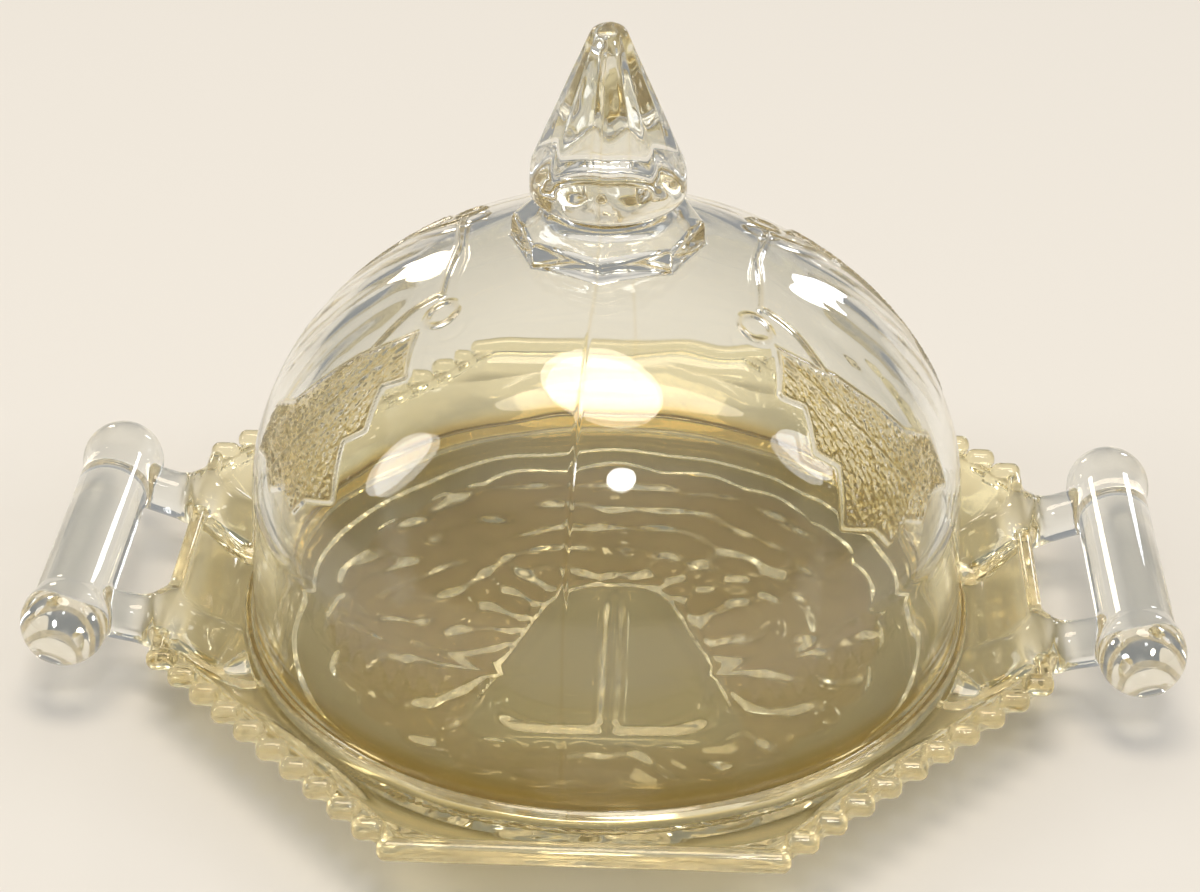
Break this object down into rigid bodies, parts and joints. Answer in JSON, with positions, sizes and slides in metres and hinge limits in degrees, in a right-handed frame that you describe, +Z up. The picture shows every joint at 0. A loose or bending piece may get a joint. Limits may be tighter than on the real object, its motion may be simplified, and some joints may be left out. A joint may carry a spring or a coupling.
{
  "type": "covered butter dish",
  "caption": "Pressed glass butter dish: eight-sided stepped dish with two ball-ended handles and a lift-off domed lid with a faceted finial.",
  "frame": {"origin": "middle of the flat underside of the dish, on the table", "axes": "+Z up, +X along the line through the two handles, +Y across it"},
  "size_m": [0.1986, 0.166, 0.1167],
  "materials": {
    "dish_glass": "fire-polished pressed glass with a faint straw tint",
    "lid_glass": "fire-polished pressed glass, nearly colourless"
  },
  "bodies": {
    "base": {"base_dish": "dish_glass"},
    "lid": {"lid": "lid_glass"}
  },
  "joints": [
    {"name": "lid_lift", "type": "slide", "parent": "base", "child": "lid", "axis": [0, 0, 1], "range_m": [0, 0.13]}
  ]
}
